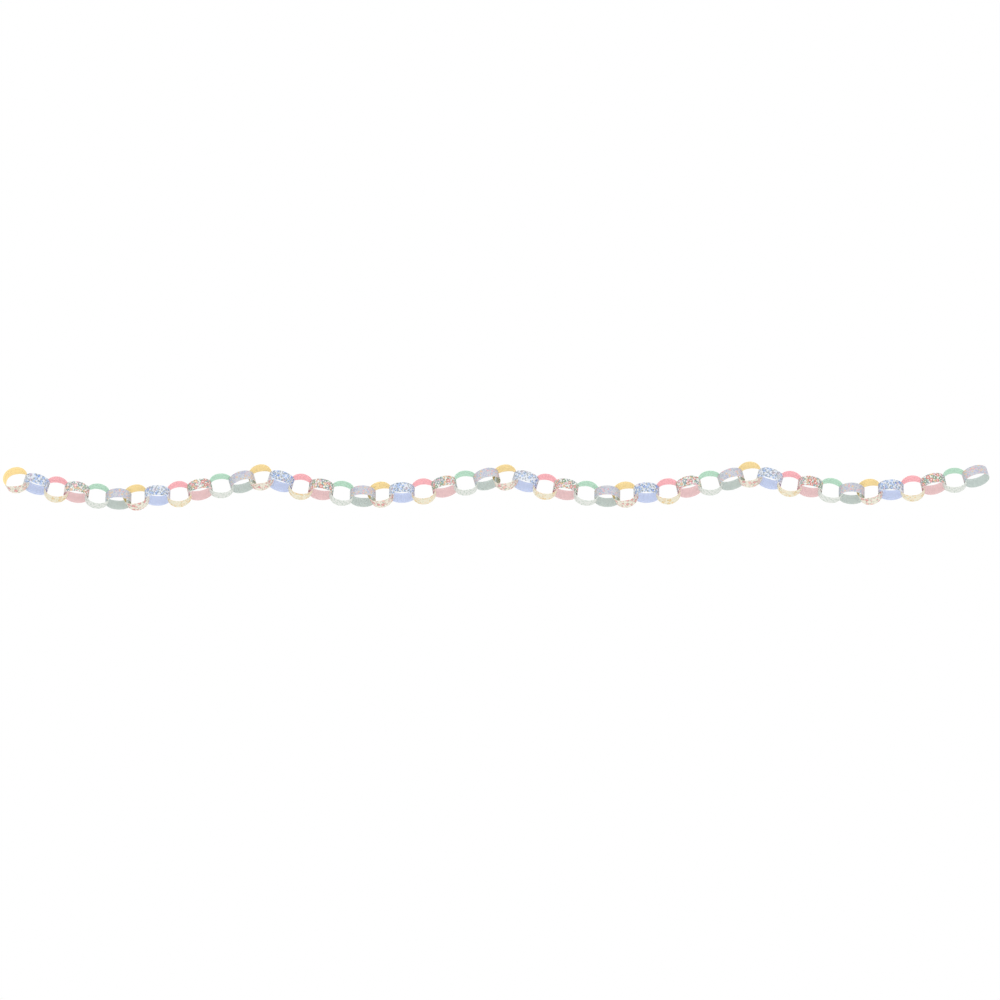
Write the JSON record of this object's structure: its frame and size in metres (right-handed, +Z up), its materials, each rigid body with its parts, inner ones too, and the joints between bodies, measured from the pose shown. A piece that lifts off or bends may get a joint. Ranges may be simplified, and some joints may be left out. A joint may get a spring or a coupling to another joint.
{
  "type": "paper chain garland",
  "caption": "Garland of interlinked paper loops, each a flower-patterned strip bent round and glued to itself, hanging in shallow swags between pins.",
  "frame": {"origin": "where the inside of the first loop bears on its pin, at the garland's left end", "axes": "+X along the garland from its first loop to its last, +Z up, -Y towards the room"},
  "size_m": [2.4645, 0.0742, 0.123],
  "materials": {
    "rose_print": "matte",
    "blue_print": "matte",
    "orange_print": "matte",
    "mixed_print": "matte",
    "leaf_print": "matte",
    "grey_print": "matte"
  },
  "bodies": {
    "root": {"link_01_yellow": "rose_print", "link_02_blue": "blue_print", "link_03_pink": "orange_print", "link_04_coral": "mixed_print", "link_05_green": "leaf_print", "link_06_sage": "grey_print", "link_07_yellow": "rose_print", "link_08_blue": "blue_print", "link_09_pink": "orange_print", "link_10_coral": "mixed_print", "link_11_green": "leaf_print", "link_12_sage": "grey_print", "link_13_yellow": "rose_print", "link_14_blue": "blue_print", "link_15_pink": "orange_print", "link_16_coral": "mixed_print", "link_17_green": "leaf_print", "link_18_sage": "grey_print", "link_19_yellow": "rose_print", "link_20_blue": "blue_print", "link_21_pink": "orange_print", "link_22_coral": "mixed_print", "link_23_green": "leaf_print", "link_24_sage": "grey_print", "link_25_yellow": "rose_print", "link_26_blue": "blue_print", "link_27_pink": "orange_print", "link_28_coral": "mixed_print", "link_29_green": "leaf_print", "link_30_sage": "grey_print", "link_31_yellow": "rose_print", "link_32_blue": "blue_print", "link_33_pink": "orange_print", "link_34_coral": "mixed_print", "link_35_green": "leaf_print", "link_36_sage": "grey_print", "link_37_yellow": "rose_print", "link_38_blue": "blue_print", "link_39_pink": "orange_print", "link_40_coral": "mixed_print", "link_41_green": "leaf_print", "link_42_sage": "grey_print", "link_43_yellow": "rose_print", "link_44_blue": "blue_print", "link_45_pink": "orange_print", "link_46_coral": "mixed_print", "link_47_green": "leaf_print", "link_48_sage": "grey_print"}
  },
  "joints": []
}
